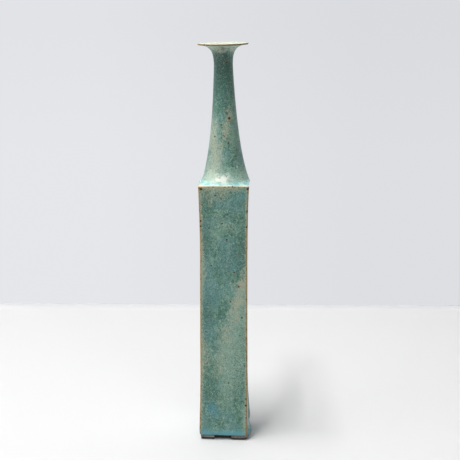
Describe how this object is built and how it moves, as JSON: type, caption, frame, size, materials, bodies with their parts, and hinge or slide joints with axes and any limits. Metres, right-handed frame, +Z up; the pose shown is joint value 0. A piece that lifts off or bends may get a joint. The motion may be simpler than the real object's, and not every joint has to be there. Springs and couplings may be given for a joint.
{
  "type": "sake bottle",
  "caption": "Tall square slab-built stoneware bottle with a thrown trumpet neck, a thin disc rim and bare clay corner feet, in mottled turquoise glaze.",
  "frame": {"origin": "on the table, under the middle of the body, at the bottom centre of the bounding box", "axes": "+Z up along the body, towards the rim; -Y is the front face; +X is the side whose foot has settled outwards"},
  "size_m": [0.0448, 0.0416, 0.3303],
  "materials": {
    "turquoise_glaze": "semi-matte mottled turquoise and celadon glaze, broken to iron brown at the edges, with iron specks",
    "liner_glaze": "thin semi-matte celadon liner glaze",
    "bare_foot_clay": "matte dark iron-bearing stoneware, unglazed",
    "buff_clay": "matte grogged stoneware under a thin wash of glaze"
  },
  "bodies": {
    "root": {"front_slab": "turquoise_glaze", "right_slab": "turquoise_glaze", "back_slab": "turquoise_glaze", "left_slab": "turquoise_glaze", "shoulder_slab": "turquoise_glaze", "neck": "turquoise_glaze", "rim": "turquoise_glaze", "base_slab": "liner_glaze", "foot_front_left": "bare_foot_clay", "foot_front_right": "bare_foot_clay", "foot_back_right": "bare_foot_clay", "foot_back_left": "bare_foot_clay", "base_seam_coil": "buff_clay", "shoulder_seam_coil": "buff_clay", "neck_seam_coil": "buff_clay", "corner_coil_front_left": "buff_clay", "corner_coil_front_right": "buff_clay", "corner_coil_back_right": "buff_clay", "corner_coil_back_left": "buff_clay"}
  },
  "joints": []
}
